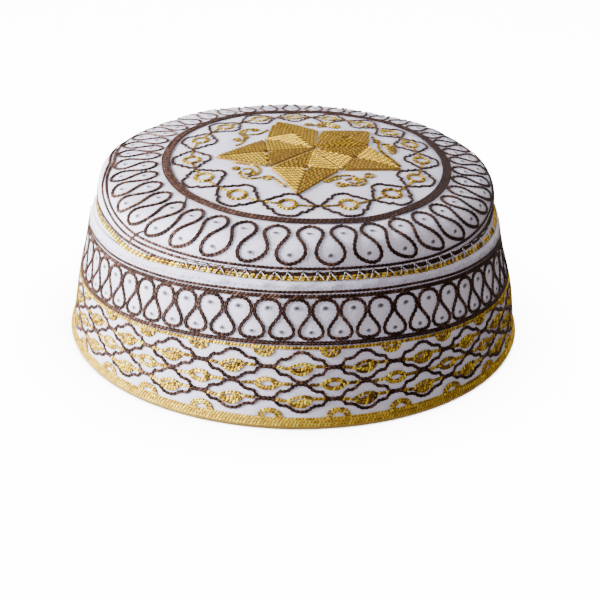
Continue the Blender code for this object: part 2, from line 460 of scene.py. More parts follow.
# Row direction in degrees and tone of each facet: outer first, outer second, inner first, inner second.
# First is the side of the notch before the tip when going round from the bottom arm to the right
# The tones are painted reflection: facets whose rows catch the light are painted lighter gold, the rest
# darker
FACETS = (
    ((118.0, 0.60), (56.0, 0.42), (48.0, 0.42), (122.0, 0.58)),
    ((78.0, 0.42), (122.0, 0.58), (122.0, 0.56), (60.0, 0.42)),
    ((78.0, 0.56), (84.0, 0.50), (20.0, 0.48), (76.0, 0.56)),
    ((86.0, 0.60), (84.0, 0.54), (88.0, 0.56), (140.0, 0.64)),
    ((98.0, 0.44), (115.0, 0.66), (98.0, 0.68), (88.0, 0.38)),
)


def crossing(a, b, c, d):
    """Where line a-b meets line c-d, in plan."""
    a, b, c, d = (np.array(p, float) for p in (a, b, c, d))
    m = np.array(((b - a), -(d - c))).T
    return a + (b - a) * np.linalg.solve(m, c - a)[0]


def fill_rows(corners, direction, pitch):
    """Parallel lines that fill a convex patch, in plan."""
    turn = math.radians(direction)
    along = np.array((math.cos(turn), math.sin(turn)))
    across = np.array((-along[1], along[0]))
    corners = np.array(corners, float)
    levels = corners @ across
    count = max(1, int((levels.max() - levels.min() - 0.3) / pitch))
    first = (levels.max() + levels.min() - (count - 1) * pitch) / 2.0
    rows = []
    for level in first + pitch * np.arange(count):
        cuts = []
        for p, q in zip(corners, np.roll(corners, -1, axis=0)):
            a, b = p @ across - level, q @ across - level
            if a * b < 0:
                cuts.append((p + (q - p) * a / (a - b)) @ along)
        if len(cuts) == 2 and abs(cuts[1] - cuts[0]) > SHORTEST_ROW:
            low, high = sorted(cuts)
            ends = np.linspace(low + ROW_TRIM, high - ROW_TRIM, 6)
            rows.append(ends[:, None] * along + level * across)
    return rows


def arm_patches(arm):
    """The four facets of an arm in plan, cut back so that cloth shows between arms and at the crossing."""
    tip, first, second = (np.array(p) for p in (STAR_TIPS[arm], STAR_NOTCHES[arm - 1], STAR_NOTCHES[arm]))
    middle = np.array(STAR_MIDDLE)
    over = (second - first) / np.linalg.norm(second - first)
    first, second = first + SLIT * over, second - SLIT * over
    cross = crossing(tip, middle, first, second)

    def near(corner):
        return cross + (corner - cross) * SPOT / np.linalg.norm(corner - cross)

    return ((tip, first, near(first), near(tip)), (tip, near(tip), near(second), second),
            (first, middle, near(middle), near(first)), (near(second), near(middle), middle, second))


def arm_lift(plan, arm):
    """Height of the padding: a low ridge along the middle of each arm, lower towards its tip."""
    middle, tip, notch = (np.array(p) for p in (STAR_MIDDLE, STAR_TIPS[arm], STAR_NOTCHES[arm]))
    way = (tip - middle) / np.linalg.norm(tip - middle)
    off = np.abs((plan[..., 0] - middle[0]) * way[1] - (plan[..., 1] - middle[1]) * way[0])
    full = abs((notch[0] - middle[0]) * way[1] - (notch[1] - middle[1]) * way[0])
    out = np.linalg.norm(plan - middle, axis=-1) / np.linalg.norm(tip - middle)
    return STAR_PAD + STAR_RIDGE * np.clip(1.0 - off / full, 0.0, 1.0) * np.clip(1.0 - out ** 2, 0.0, 1.0)


star_lines = []
for arm, facets in enumerate(FACETS):
    for patch, (direction, shade) in zip(arm_patches(arm), facets):
        for row in fill_rows(patch, direction, ROW_PITCH):
            star_lines.append((from_plan(row), shade, arm_lift(row, arm)))


def star_pad():
    """Padding under the rows: a low pillow for each facet, its edges turned down to the cloth."""
    cuts = np.array((0.0, 0.03, 0.2, 0.4, 0.6, 0.8, 0.97, 1.0))
    u, v = (axis[..., None] for axis in np.meshgrid(cuts, cuts, indexing="ij"))
    edge = ((u == 0.0) | (u == 1.0) | (v == 0.0) | (v == 1.0))[..., 0]
    cell = quads(len(cuts), len(cuts))[:, TURNED]
    points, faces = [], []
    for arm in range(len(STAR_TIPS)):
        for a, b, c, d in arm_patches(arm):
            plan = (1 - u) * (1 - v) * a + u * (1 - v) * b + u * v * c + (1 - u) * v * d
            lift = np.where(edge, PAD_EDGE, arm_lift(plan, arm)).ravel()
            chart = from_plan(plan.reshape(-1, 2))
            turned_up = np.cross(b - a, d - a) > 0
            faces.append((cell[:, ::-1] if turned_up else cell) + len(cuts) ** 2 * len(points))
            points.append(skin(chart[:, 0], chart[:, 1], lift)[0])
    return mesh_object("star_padding", np.concatenate(points), np.concatenate(faces), gold_felt, "gold_star")


# Gold padding felt: shows only as dark gold lines between the rows. Its dark colour is partly the felt's
# own and partly painted shade of the narrow gaps.
gold_felt, tree, shader = new_material("gold_padding_felt")
fuzz = add(tree, "ShaderNodeTexNoise", {"Scale": 2600.0, "Detail": 3.0})
tint = add(tree, "ShaderNodeMix",
           {"Factor": fuzz.outputs["Fac"], 6: srgb("725318"), 7: srgb("906E24")}, data_type="RGBA")
tree.links.new(tint.outputs[2], shader.inputs["Base Color"])
shader.inputs["Roughness"].default_value = 0.8

pad = star_pad()
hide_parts("gold_star")
star = chain("star_rows", star_lines, ROW_WIDTH, gold, "gold_star", spread=0.10, step=2.4, shear=0.5)


# Brown ring
# Four rows of brown chain stitch side by side make a raised oval round the star and its medallions.
RING_MIDDLE = (4.0, -1.4)
RING_HALF = (56.2, 60.3)
RING_FULLNESS = 0.55
RING_ROWS = (-1.35, -0.45, 0.45, 1.35)


def oval(middle, half, count=180):
    """An oval from its middle and its two half widths."""
    turn = np.radians(np.linspace(0.0, 360.0, count))
    return np.stack((middle[0] + half[0] * np.cos(turn), middle[1] + half[1] * np.sin(turn)), axis=-1)


def ring_row(out):
    """One row of the ring, a little fuller on its diagonals than a true oval."""
    plan = oval(RING_MIDDLE, (RING_HALF[0] + out, RING_HALF[1] + out))
    away = plan - RING_MIDDLE
    fuller = -RING_FULLNESS * np.cos(4.0 * np.arctan2(away[:, 1], away[:, 0]))[:, None]
    return from_plan(plan + fuller * away / np.linalg.norm(away, axis=1, keepdims=True))


ring_lines = [ring_row(out) for out in RING_ROWS]
brown_ring = chain("brown_ring_rows", ring_lines, 1.0, brown, "brown_ring", tone=0.28, spread=0.20,
                   lift=0.0002, lit_side_paint=0.14)
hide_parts("brown_ring")


# Chain of barbed medallions
# Two brown barbed lines cross again and again round the star and close sixteen medallions between them.
# Each holds a gold ring with short gold bars to the crossings.
MEDALLION_ANGLES = (235, 261, 290, 315, 338, 361, 383, 401, 419, 438, 457, 476, 498, 521, 548, 570)
MEDALLION_REACH = 45.7
MEDALLION_HALVES = (8.3, 7.8, 7.9, 8.6, 7.3, 6.7, 6.9, 6.9, 6.9, 6.9, 6.9, 6.9, 6.9, 7.0, 7.4, 8.5)
# A quarter of a medallion: share of the way from its middle to the crossing, share of its half height
BARBED = ((0.0, 1.0), (0.18, 0.98), (0.31, 0.91), (0.39, 0.77), (0.42, 0.64), (0.48, 0.58), (0.56, 0.61),
          (0.62, 0.52), (0.66, 0.38), (0.73, 0.31), (0.80, 0.28), (0.84, 0.12), (0.90, 0.03), (1.0, 0.0))
PLAN_SHIFT = -0.6
MEDALLION_OVAL = 1.07
# Half width of a gold ring: a least size and a share of its medallion's half height, both in mm
RING_SMALLEST = 1.2
RING_SHARE = 0.25
# Gaps at the two ends of a gold bar, in mm at the ring and in degrees at the crossing
RING_GAP = 0.9
CROSSING_GAP = 1.6


def medallion_plan(reach, turn):
    """Plan point of the oval medallion chain from its own radius and angle in degrees."""
    turn = np.radians(turn)
    return np.stack((RING_MIDDLE[0] + reach * np.cos(turn),
                     PLAN_SHIFT + MEDALLION_OVAL * reach * np.sin(turn)), axis=-1)


def both_ways(chart):
    """A smooth line over a whole lobe, from the chart of its right half."""
    right = curve(chart, steps=4)
    return np.concatenate((right[::-1] * (-1.0, 1.0), right[1:]))


def barbed_cells(edges, halves):
    """Two barbed lines over a row of cells: place along each cell, and distance from its middle line."""
    lobe = both_ways(BARBED)
    lines = ([], [])
    for index, (low, high) in enumerate(zip(edges, edges[1:])):
        middle, wide = (low + high) / 2.0, (high - low) / 2.0
        for side, line in zip((1.0, -1.0), lines):
            line.append(np.stack((middle + lobe[:, 0] * wide, side * halves[index] * lobe[:, 1]), axis=-1))
    return [np.concatenate(line) for line in lines]


middles = np.array(MEDALLION_ANGLES, float)
ends = np.concatenate(((middles[:1] + middles[-1:] - 360.0) / 2.0, (middles[1:] + middles[:-1]) / 2.0,
                       (middles[-1:] + middles[:1] + 360.0) / 2.0))
medallion_lines = [from_plan(medallion_plan(MEDALLION_REACH + line[:, 1], line[:, 0]))
                   for line in barbed_cells(ends, MEDALLION_HALVES)]
medallions = chain("medallion_outlines", medallion_lines, 1.45, brown, "crown_panel", tone=0.14,
                   spread=0.2, slack=0.3)

gold_rings, gold_bars = [], []
for low, high, middle, half in zip(ends, ends[1:], middles, MEDALLION_HALVES):
    centre = medallion_plan(MEDALLION_REACH, middle)
    ring_half = RING_SMALLEST + RING_SHARE * half
    gold_rings.append(from_plan(oval(centre, (ring_half, ring_half * 1.05), count=30)))
    reach = (ring_half + RING_GAP) / (math.radians(1.0) * MEDALLION_REACH)
    for a, b in ((low + CROSSING_GAP, middle - reach), (middle + reach, high - CROSSING_GAP)):
        gold_bars.append(from_plan(medallion_plan(np.full(6, MEDALLION_REACH), np.linspace(a, b, 6))))
medallion_gold = chain("medallion_rings", gold_rings, 1.8, gold, "gold_star", tone=0.52, spread=0.38,
                       step=1.5, slack=0.2)
medallion_bars = chain("medallion_bars", gold_bars, 1.15, gold, "gold_star", tone=0.5, spread=0.3, step=1.5)


# Scrolls
# Small gold scrolls and leaves grow from the notches of the star, each a few curls of chain stitch.
CURL_END = 0.35


def spiral(x, y, radius, start, turns):
    """A curl in plan that winds in to a share of its radius; turns is negative for clockwise."""
    share = np.linspace(0.0, 1.0, 24)
    turn = np.radians(start) + 2.0 * math.pi * turns * share
    reach = radius * (1.0 - (1.0 - CURL_END) * share)
    return np.stack((x + reach * np.cos(turn), y + reach * np.sin(turn)), axis=-1)


# Stems as points in plan. Curls as x, y, radius, first angle in degrees, and turns
SCROLL_STEMS = (
    ((-3.8, -34.4), (-6.0, -30.6), (-8.1, -27.0)),
    ((-13.4, -25.6), (-15.6, -26.4), (-18.2, -26.6), (-20.6, -25.2), (-21.9, -22.6), (-21.4, -19.8)),
    ((-24.6, -11.2), (-20.6, -12.6), (-16.4, -14.6), (-14.4, -17.6), (-14.4, -21.0), (-15.8, -23.8)),
    ((-20.6, -18.2), (-18.6, -17.2), (-17.0, -18.8), (-17.4, -21.4), (-19.2, -22.8), (-20.2, -21.0)),
    ((-18.6, -24.8), (-16.8, -23.4), (-16.0, -20.4)),
    ((10.6, -28.8), (12.5, -26.2), (15.6, -23.2), (19.2, -21.7), (22.4, -21.9)),
    ((11.8, -29.2), (14.2, -26.6), (17.0, -24.6)),
    ((18.6, -29.0), (21.0, -30.2), (23.8, -30.0), (26.0, -28.0), (26.6, -24.6), (25.0, -22.4)),
    ((18.8, -26.4), (20.4, -24.6), (22.8, -24.8), (23.8, -27.0), (22.0, -28.4), (20.4, -27.4)),
    ((21.8, -23.2), (24.2, -24.0), (25.0, -26.8)),
    ((30.9, 23.8), (31.9, 19.4), (33.1, 15.0), (32.9, 11.2), (33.8, 6.9), (35.6, 3.0), (38.6, -3.6),
     (40.8, -8.6)),
    ((34.4, 15.2), (37.2, 15.8), (39.3, 12.6), (39.7, 8.0), (38.2, 4.4)),
    ((34.8, 13.2), (36.6, 10.8), (37.3, 7.4), (37.6, 4.8)),
    ((36.0, 14.2), (38.0, 11.4), (38.5, 8.0)),
    ((7.6, 35.0), (9.2, 38.4), (12.0, 39.4), (15.2, 38.0), (17.6, 35.0)),
    ((8.8, 34.4), (11.0, 36.8), (13.6, 36.4)),
    ((8.6, 33.0), (11.6, 33.8), (13.8, 32.4)),
    ((-19.6, 29.4), (-22.6, 26.4), (-23.6, 22.8), (-22.2, 19.4), (-21.2, 15.2), (-22.4, 10.4), (-24.4, 7.6)),
    ((-21.0, 26.8), (-22.0, 23.2), (-20.8, 20.2), (-20.0, 16.2)),
    ((-19.4, 21.0), (-16.2, 21.4), (-13.8, 24.4), (-12.2, 27.6)),
)
SCROLL_CURLS = (
    (-10.9, -26.3, 2.2, 10, 1.3), (-23.2, -16.9, 1.7, -60, -1.2), (16.9, -30.2, 2.2, 20, -1.3),
    (28.1, -19.8, 2.2, 215, 1.2), (32.9, 18.2, 1.5, 250, -1.2), (4.7, 36.2, 2.0, 330, 1.2),
    (15.8, 33.4, 1.7, 130, -1.2), (-17.8, 27.6, 1.9, 260, 1.3), (-24.0, 14.4, 1.7, 60, 1.2),
)
scroll_lines = [from_plan(curve(stem) + (0.0, PLAN_SHIFT)) for stem in SCROLL_STEMS]
scroll_lines += [from_plan(spiral(*curl) + (0.0, PLAN_SHIFT)) for curl in SCROLL_CURLS]
scrolls = chain("star_scrolls", scroll_lines, 1.25, gold, "gold_star", tone=0.5, spread=0.34)


# Crown meander
# One brown line of chain stitch loops in and out round the edge of the crown, forty times. The loops were
# set by hand: near the sides they lie further in, and their outer bulbs lean away from the front.
# Each row: angle and s of an inner end, then of the next outer bulb the angle of its neck, the lean of its
# tip in degrees, and its s
LOOPS = (
    (-181.5, 54.6, -176.3, 0.8, 72.3), (-170.8, 55.8, -166.0, 0.7, 74.5),
    (-161.3, 57.2, -156.6, 0.8, 77.0), (-151.6, 58.8, -147.3, -1.5, 79.9),
    (-142.6, 60.1, -138.0, -4.0, 81.8), (-132.9, 62.1, -128.8, -5.5, 83.2),
    (-124.0, 62.9, -120.0, -4.8, 84.1), (-114.8, 63.3, -110.3, -4.0, 84.3),
    (-105.4, 64.3, -100.6, -2.5, 84.6), (-95.4, 64.8, -90.9, -1.0, 84.8), (-85.4, 65.2, -80.9, 0.8, 85.1),
    (-75.4, 65.6, -71.0, 2.3, 85.2), (-66.2, 65.5, -61.5, 4.5, 85.5), (-56.7, 65.9, -52.6, 6.0, 85.6),
    (-47.7, 66.1, -43.7, 5.8, 84.7), (-39.0, 65.8, -35.4, 6.0, 83.4), (-31.0, 65.0, -27.0, 6.0, 81.7),
    (-21.8, 63.6, -17.6, 4.2, 80.1), (-12.5, 62.7, -8.8, 1.0, 77.2), (-4.2, 62.0, 0.2, 1.4, 76.5),
    (6.0, 62.0, 10.5, 1.0, 75.8), (15.0, 62.0, 19.3, 0.6, 75.6),
)
# The loops behind are guessed: they ease from the last row back to the first, bowed out by so many mm
BACK_LOOPS = 18
BACK_EASE = 1.6
INNER_BOW = 1.0
OUTER_BOW = 3.4
# Swing of the line to its sides: how far it rounds the bulbs, how much squarer that is than a wave, and the
# share of the way out at which a bulb starts to lean
BULB = 0.206
SQUARE = 0.034
NECK = 0.38
LOOP_STEP = 0.05 / 3.2


def loop_ends():
    """Angle, s and lean of every end in turn round the crown: inner, outer, inner and so on."""
    rows = np.array([end for a, s_in, b, lean, s_out in LOOPS for end in ((a, s_in, 0.0), (b, s_out, lean))])
    last = rows[0] + (360.0, 0.0, 0.0)
    back = np.linspace(rows[-2, 0], last[0], 2 * BACK_LOOPS + 3)[2:-1]
    share = (back - back[0]) / (back[-1] - back[0])
    bow = np.sin(math.pi * share)
    inner = rows[-2, 1] + (last[1] - rows[-2, 1]) * share ** BACK_EASE + INNER_BOW * bow
    outer = rows[-1, 1] + (rows[1, 1] - rows[-1, 1]) * share ** BACK_EASE + OUTER_BOW * bow
    turns = np.where(np.arange(len(back)) % 2, outer, inner)
    return np.concatenate((rows, np.stack((back, turns, np.zeros_like(back)), axis=-1), last[None]))


def meander(ends):
    """The looping line through its ends, with round bulbs at both and a narrow neck between."""
    at_end = np.arange(len(ends))
    step = np.arange(0.0, len(ends) - 0.99, LOOP_STEP)
    p = math.pi * (step + 1.0)
    wide = np.gradient(ends[:, 0])
    swell = BULB * np.sin(2 * p) - SQUARE * np.sin(4 * p)
    u = np.interp(step, at_end, ends[:, 0]) + 2.0 * np.interp(step, at_end, wide) * swell
    inner = np.interp(step, at_end[0::2], ends[0::2, 1])
    outer = np.interp(step, at_end[1::2], ends[1::2, 1])
    out = (1.0 + np.cos(p)) / 2.0
    lean = np.interp(step, at_end[1::2], ends[1::2, 2])
    u += lean * np.clip((out - NECK) / (1.0 - NECK), 0.0, 1.0) ** 2
    return np.stack((inner + (outer - inner) * out, u), axis=-1)


ends = loop_ends()
crown_meander = chain("crown_meander", [meander(ends)], 1.68, brown, "crown_panel", tone=0.17, spread=0.28,
                      lit_side_paint=0.08, slack=0.36)


# Rim lines
# Three brown lines close the crown above the seam, a thick gold line lies along the seam, and white thread
# tacks it down at the front. Like the loops, they lie further in at the sides.
# Each row: angle, then s of the upper, the middle and the lower line, and of the gold line
RIM_CHART = (
    (-180.0, 72.8, 74.6, 85.0, 88.4), (-170.0, 75.3, 77.0, 86.0, 88.6), (-160.0, 77.8, 80.6, 87.2, 89.2),
    (-150.0, 81.9, 85.1, 88.4, 90.0), (-140.0, 84.7, 87.2, 89.3, 91.6), (-130.0, 85.8, 87.9, 90.2, 91.6),
    (-120.0, 86.1, 88.2, 90.2, 91.1), (-110.0, 86.4, 88.5, 89.6, 90.9), (-100.0, 86.7, 88.7, 89.4, 91.0),
    (-90.0, 86.9, 88.8, 89.5, 91.2), (-80.0, 87.1, 88.7, 89.4, 90.9), (-70.0, 87.1, 89.0, 89.6, 91.1),
    (-60.0, 87.4, 89.3, 89.9, 91.7), (-50.0, 87.6, 89.3, 90.0, 91.9), (-40.0, 86.5, 88.8, 89.6, 91.6),
    (-30.0, 85.2, 88.1, 89.0, 91.4), (-20.0, 83.5, 86.8, 88.2, 91.2), (-10.0, 80.4, 83.6, 86.4, 91.0),
    (0.0, 78.0, 80.6, 84.4, 91.0), (30.0, 77.4, 79.4, 84.0, 91.0), (60.0, 80.4, 82.4, 86.0, 91.0),
    (90.0, 83.0, 85.0, 87.6, 91.0), (120.0, 80.6, 82.6, 86.6, 90.6), (150.0, 76.6, 78.6, 85.6, 89.4),
    (180.0, 72.8, 74.6, 85.0, 88.4))
rim_chart = curve(RIM_CHART)
rim_lines = [np.stack((rim_chart[:, k], rim_chart[:, 0]), axis=-1) for k in (1, 2, 3)]
rim = chain("crown_rim_lines", rim_lines, 1.3, brown, "crown_panel", tone=0.24, spread=0.28, lit_side_paint=0.14)
seam_line = np.stack((rim_chart[:, 4], rim_chart[:, 0]), axis=-1)
seam = chain("seam_gold_line", [seam_line], 2.2, gold, "hem_edge", tone=0.54, spread=0.4, step=2.3,
             shear=0.4, lit_side_paint=0.12)

# Jump threads: loose brown ends laid across the crown where one line stops and the next starts
jump_lines = [curve(((81.4, -134.7), (82.7, -136.5), (84.3, -138.5), (86.3, -140.2), (88.0, -141.5),
                     (89.8, -142.0))),
              curve(((57.4, -136.0), (59.6, -133.8), (62.2, -131.8)))]
jump = chain("jump_threads", jump_lines, 0.85, brown, "crown_panel", tone=0.3, deep=False)


# White thread: corners round it, charted points to a turn of its twist, and tone
THREAD_SIDES = 6
TWIST_POINTS = 7
WHITE_TONE = 0.7


def tube(name, lines, radius, material, slot):
    """Thin round threads along lines charted as s, theta and lift in mm, joined into one piece."""
    points, faces, marks = [], [], []
    sides = THREAD_SIDES
    for chart in lines:
        middle, normal = skin(chart[:, 0], chart[:, 1], chart[:, 2] * MM)
        run = np.gradient(middle, axis=0)
        run /= np.linalg.norm(run, axis=1, keepdims=True)
        across = np.cross(normal, run)
        faces.append(quads(len(chart), sides, across_closed=True) + len(points) * sides)
        for index, (m, n, a) in enumerate(zip(middle, normal, across)):
            turn = 2.0 * np.pi * np.arange(sides)[:, None] / sides
            points.append(m + radius * (np.cos(turn) * a + np.sin(turn) * n))
            marks += [(index % TWIST_POINTS / TWIST_POINTS, math.sin(t), WHITE_TONE) for t in turn[:, 0]]
    return threads(name, np.concatenate(points), np.concatenate(faces), marks, material, slot)


# White tacking over the front of the seam: pairs of slanting stitches that meet in one hole, and a thread
# from pair to pair. A pair is charted as s, degrees and lift in mm
TACK_PITCH = 3.75
TACK_FIRST = -121.6
TACK_COUNT = 26
TACK_WIDER = 0.00005
TACK_CLOSER = 0.00003
TACK_RADIUS = 0.00014
TACK_HOLES = 88.15
TACK_NARROWING = 0.55
TACK_PAIR = ((92.4, -1.25, -0.1), (91.9, -1.05, 0.75), (90.6, -0.62, 0.85), (89.2, -0.2, 0.45),
             (88.2, 0.0, 0.05), (89.2, 0.36, 0.45), (90.6, 1.05, 0.85), (91.9, 1.62, 0.75),
             (92.4, 1.85, -0.1))


def tack_angle(index):
    """Angle of a pair of stitches: they stand closer towards the left end and wider apart at the right."""
    away = TACK_FIRST + TACK_PITCH * index + 90.0
    return -90.0 + away + np.where(away > 0.0, TACK_WIDER, -TACK_CLOSER) * away ** 3


tack_rng = np.random.RandomState(4)
tacks = []
for k in range(TACK_COUNT):
    sway = tack_rng.uniform(-0.25, 0.25, 3)
    rows = curve(TACK_PAIR, steps=3)
    # Pairs are narrower towards the right end
    narrow = 1.0 - TACK_NARROWING * min(max((tack_angle(k) + 80.0) / 50.0, 0.0), 1.0)
    rows[:, 1] = tack_angle(k) + rows[:, 1] * (1.0 + 0.4 * sway[0]) * narrow + sway[1]
    tacks.append(rows)
    between = np.linspace(0.0, 1.0, 6)
    tacks.append(np.stack((TACK_HOLES + 0.12 * np.sin(math.pi * between), tack_angle(k + between) + sway[1],
                           0.28 * np.sin(math.pi * between)), axis=-1))
tacking = tube("white_tacking", tacks, TACK_RADIUS, white, "side_band")


# Meander of the band
# Two brown lines, the second of thick slanting stitches, then a brown line that loops up and down
# fifty-four times, and a double brown and a gold line under it.
BAND_REPEATS = 54
# Angle, then how far the repeats near it are shifted by hand, in degrees
BAND_SHIFTS = ((-180.0, 1.6), (-165.0, 2.4), (-150.0, 2.6), (-139.0, 1.9), (-125.0, 0.6), (-118.0, -0.2),
               (-111.0, -0.7), (-104.0, -0.4), (-92.0, 0.0), (-60.0, 0.0), (-45.0, -0.2), (-25.0, -1.0),
               (0.0, -0.8), (45.0, 0.0), (135.0, 0.6), (180.0, 1.6))
# Half a repeat from the bottom of a low drop to the top of a high one: share of half the pitch, s
BAND_LOOP = ((0.0, 114.7), (0.42, 114.5), (0.72, 113.5), (0.81, 112.1), (0.74, 110.5), (0.52, 108.7),
             (0.29, 107.1), (0.14, 105.6), (0.11, 104.1), (0.16, 102.5), (0.32, 101.1), (0.62, 100.1),
             (1.0, 99.8))
BAND_FIRST = -92.66


def home(u):
    """The same angle within half a turn of zero, in degrees."""
    return (u + 180.0) % 360.0 - 180.0


band_pitch = 360.0 / BAND_REPEATS
band_starts = BAND_FIRST + band_pitch * np.arange(BAND_REPEATS)
half = curve(BAND_LOOP, steps=4)
repeat = np.concatenate(((half * (-1.0, 1.0))[::-1], half[1:-1]))
u = (band_starts[:, None] + repeat[:, 0] * band_pitch / 2.0).ravel()
s = np.tile(repeat[:, 1], BAND_REPEATS)
turned_u = warp(home(u), BAND_SHIFTS) - home(u) + u
loop = np.stack((np.append(s, s[0]), np.append(turned_u, turned_u[0] + 360.0)), axis=-1)
band_meander = chain("band_meander", [loop], 1.6, brown, "side_band", tone=0.2, spread=0.26, lit_side_paint=0.04,
                     slack=0.2)
band_lines = chain("band_top_lines", [ring(96.8, 0.4)], 1.25, brown, "side_band", tone=0.26, spread=0.26,
                   lit_side_paint=0.06)
band_slant = chain("band_slanted_line", [ring(98.6, 0.2)], 1.8, brown, "side_band", tone=0.26, spread=0.3,
                   step=1.5, lit_side_paint=0.08, shear=1.1)
band_double = chain("band_double_line", [ring(115.75, 0.15), ring(116.5, 0.1)], 1.0, brown, "side_band",
                    tone=0.24, spread=0.24, lit_side_paint=0.1)
band_gold = chain("band_gold_line", [ring(117.7, 0.1)], 1.5, gold, "hem_edge", tone=0.54, spread=0.38,
                  step=1.3, shear=0.5)

# White running stitches that hold the wadding of the puffed strip
RUN_PITCH = 1.9
RUN_START = 94.9
RUN_RADIUS = 0.00016
strip_rng = np.random.RandomState(9)
runs = []
for theta in np.arange(-180.0, 180.0, RUN_PITCH):
    at = strip_rng.uniform(-0.3, 0.3)
    share = np.linspace(0.0, 1.0, 6)
    runs.append(np.stack((RUN_START + 0.9 * at + 0.5 * at * share, theta + at + (0.75 + at) * share,
                          0.3 * np.sin(math.pi * share) - 0.1), axis=-1))
    bites.append(skin(runs[-1][::5, 0], runs[-1][::5, 1])[0])
strip_runs = tube("strip_running_stitches", runs, RUN_RADIUS, white, "side_band")


# Lattice of the band
# Four brown barbed lines meet and part and close three staggered rows of medallions.
# Gold eyes fill the first and third row, gold rings the second, and gold loops the gaps above and below.
LATTICE_REPEATS = 24
LATTICE_SHIFTS = ((-180.0, 1.6), (-165.0, 2.6), (-148.0, 2.7), (-132.0, 1.3), (-118.0, -0.3),
                  (-104.0, -0.4), (-90.0, 0.0), (-76.0, -0.5), (-62.0, -1.1), (-46.0, -1.8), (-32.0, -2.4),
                  (-15.0, -2.2), (30.0, -0.8), (120.0, 0.4), (180.0, 1.6))
lattice_pitch = 360.0 / LATTICE_REPEATS
FIRST_ROW = -88.06
# Levels as s: the tips of the first, second and third row, the top and the bottom line's peaks, the gold
# loops above and the gold arches below. Then the wall's mean radius in mm
TIPS = (124.1, 129.85, 135.4)
TOPS = 119.2
BOTTOMS = 139.6
LOOP_LEVEL = 117.4
ARCH_LEVEL = 142.2
WALL_RADIUS = 87.0
# Half of a lattice line from the top of a lobe to the bottom of the next dip
WAVY = ((0.0, 1.0), (0.10, 0.98), (0.20, 0.90), (0.28, 0.75), (0.35, 0.62), (0.41, 0.55), (0.48, 0.50),
        (0.55, 0.50), (0.62, 0.47), (0.67, 0.39), (0.71, 0.23), (0.77, 0.09), (0.84, 0.03), (1.0, 0.0))
lobe = both_ways(WAVY)


def lattice_angle(u):
    """Angle of a place in the lattice after the repeats are set by hand."""
    return u + warp(home(u), LATTICE_SHIFTS) - home(u)


def barbed_row(middle, tip, peak):
    """One barbed line round the band whose lobes reach from the tips' level to a peak."""
    starts = middle + lattice_pitch * np.arange(LATTICE_REPEATS + 1)[:, None]
    u = (starts + lobe[:, 0] * lattice_pitch / 2.0).ravel()
    s = np.tile(tip + lobe[:, 1] * (peak - tip), LATTICE_REPEATS + 1)
    keep = u <= u[0] + 360.0 + 1e-6
    return np.stack((s[keep], lattice_angle(u[keep])), axis=-1)


second_row = FIRST_ROW + lattice_pitch / 2.0
# Tips and peaks of the four lines, which stand a little apart where two of them meet
BARBED_ROWS = ((TIPS[0], TOPS), (TIPS[0] + 0.3, TIPS[1] - 0.6), (TIPS[2] - 0.3, TIPS[1] + 0.2),
               (TIPS[2], BOTTOMS))
lattice_lines = [barbed_row(FIRST_ROW, tip, peak) for tip, peak in BARBED_ROWS]
lattice = chain("lattice_outlines", lattice_lines, 1.5, brown, "side_band", tone=0.22, spread=0.28,
                lit_side_paint=0.03, slack=0.2)


def band_shape(u, s, rows):
    """A charted shape in mm, across and up, set on the band at u degrees and s."""
    rows = np.asarray(rows, float)
    degree = math.radians(1.0) * WALL_RADIUS
    return np.stack((s - rows[:, 1], lattice_angle(u) + rows[:, 0] / degree), axis=-1)


EYE = ((-4.5, -0.5), (-2.6, -1.8), (-0.5, -2.3), (1.6, -1.9), (3.2, -0.8), (3.9, 0.4), (2.4, 1.2),
       (0.2, 1.3), (-1.8, 0.9), (-3.6, 0.2), (-4.5, -0.5))
EYE_INNER = ((-2.9, -0.4), (-1.6, -1.1), (-0.2, -1.25), (1.3, -0.9), (2.4, -0.1), (1.9, 0.6), (1.0, -0.1))
EYE_FILL = ((-1.7, -0.45), (-0.4, -0.35), (1.0, -0.1))
EYE_BARS = (((-9.0, 0.2), (-7.6, 0.0), (-5.9, -0.3), (-4.2, -0.5)),
            ((3.9, 0.4), (5.6, 0.5), (7.2, 0.4), (8.6, 0.5)))
EYE_LINES = (EYE, EYE_INNER, EYE_FILL) + EYE_BARS
RING_SHAPE = oval((0.0, 0.0), (3.8, 1.75), count=25)
RING_INNER = oval((0.0, 0.0), (2.75, 1.35), count=25)
RING_BARS = (((-8.8, 0.0), (-7.2, -0.1), (-5.6, 0.0), (-4.2, 0.2)),
             ((4.2, 0.0), (5.8, 0.1), (7.4, 0.1), (9.2, 0.2)))
LOOP_SHAPE = ((-4.5, 0.2), (-4.7, -1.2), (-3.6, -2.5), (-1.3, -3.1), (1.0, -2.5), (2.1, -1.2), (1.9, 0.2))
LOOP_INNER = ((-3.1, 0.0), (-3.1, -1.1), (-1.3, -2.0), (0.5, -1.1), (0.5, 0.0))
ARCH_SHAPE = ((-2.0, -0.6), (-2.4, 1.2), (-1.2, 2.7), (1.5, 3.3), (4.2, 2.7), (5.4, 1.2), (5.0, -0.6))
ARCH_INNER = ((-0.9, -0.6), (-1.2, 1.0), (1.5, 2.6), (4.2, 1.0), (3.9, -0.6))
lattice_marks, lattice_arches = [], []
